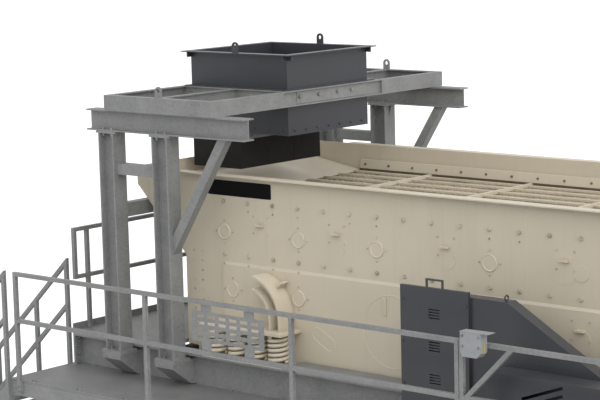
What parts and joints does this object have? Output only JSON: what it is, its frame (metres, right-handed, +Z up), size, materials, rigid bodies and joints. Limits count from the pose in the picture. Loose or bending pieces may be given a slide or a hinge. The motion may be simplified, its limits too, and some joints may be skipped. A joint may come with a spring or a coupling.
{
  "type": "vibrating screen",
  "caption": "Horizontal vibrating screen on coil springs, on a steel support with legs, feed box stand, walkways, handrails, stair and drive guard.",
  "frame": {"origin": "on the ground, under the middle of the whole plant", "axes": "+X along the flow from feed to discharge, +Y to the far side, +Z up"},
  "size_m": [10.8882, 4.894, 5.7989],
  "materials": {
    "beige_paint": "satin beige enamel",
    "charcoal_paint": "satin charcoal powder coat",
    "galvanised_steel": "hot dip galvanised",
    "galvanised_floor": "hot dip galvanised floor plate",
    "black_rubber": "matt rubber sheet",
    "screen_media": "dusty woven wire",
    "grey_box": "light grey paint"
  },
  "bodies": {
    "root": {"side_plate_near": "beige_paint", "side_plate_far": "beige_paint", "feed_back_plate": "beige_paint", "feed_pan": "beige_paint", "discharge_lips": "beige_paint", "cross_tubes": "beige_paint", "exciter_tubes": "beige_paint", "top_deck": "screen_media", "middle_deck": "screen_media", "bottom_deck": "screen_media", "hold_down_bars": "beige_paint", "clamp_rails": "beige_paint", "spring_brackets": "beige_paint", "springs_near": "beige_paint", "springs_far": "beige_paint", "spring_seats": "beige_paint", "guard_door": "charcoal_paint", "drive_guard": "charcoal_paint", "motor_cover": "charcoal_paint", "girder_near": "galvanised_steel", "girder_far": "galvanised_steel", "legs_near": "galvanised_steel", "legs_far": "galvanised_steel", "cross_members": "galvanised_steel", "leg_braces": "galvanised_steel", "column_brackets": "galvanised_steel", "columns_near": "galvanised_steel", "columns_far": "galvanised_steel", "column_struts": "galvanised_steel", "cross_tie": "galvanised_steel", "beam_near": "galvanised_steel", "beam_far": "galvanised_steel", "column_braces": "galvanised_steel", "top_frame": "galvanised_steel", "feed_box": "charcoal_paint", "lifting_eyes": "galvanised_steel", "skirt_clamps": "galvanised_steel", "feed_skirt": "black_rubber", "walkway_near": "galvanised_floor", "walkway_far": "galvanised_floor", "walkway_channels": "galvanised_steel", "walkway_brackets": "galvanised_steel", "toe_boards": "galvanised_steel", "feed_platform": "galvanised_floor", "handrail_near": "galvanised_steel", "handrail_far": "galvanised_steel", "feed_handrail": "galvanised_steel", "stair_stringers": "galvanised_steel", "stair_treads": "galvanised_floor", "stair_rails": "galvanised_steel", "rail_panel": "galvanised_steel", "stop_stations": "grey_box"}
  },
  "joints": []
}
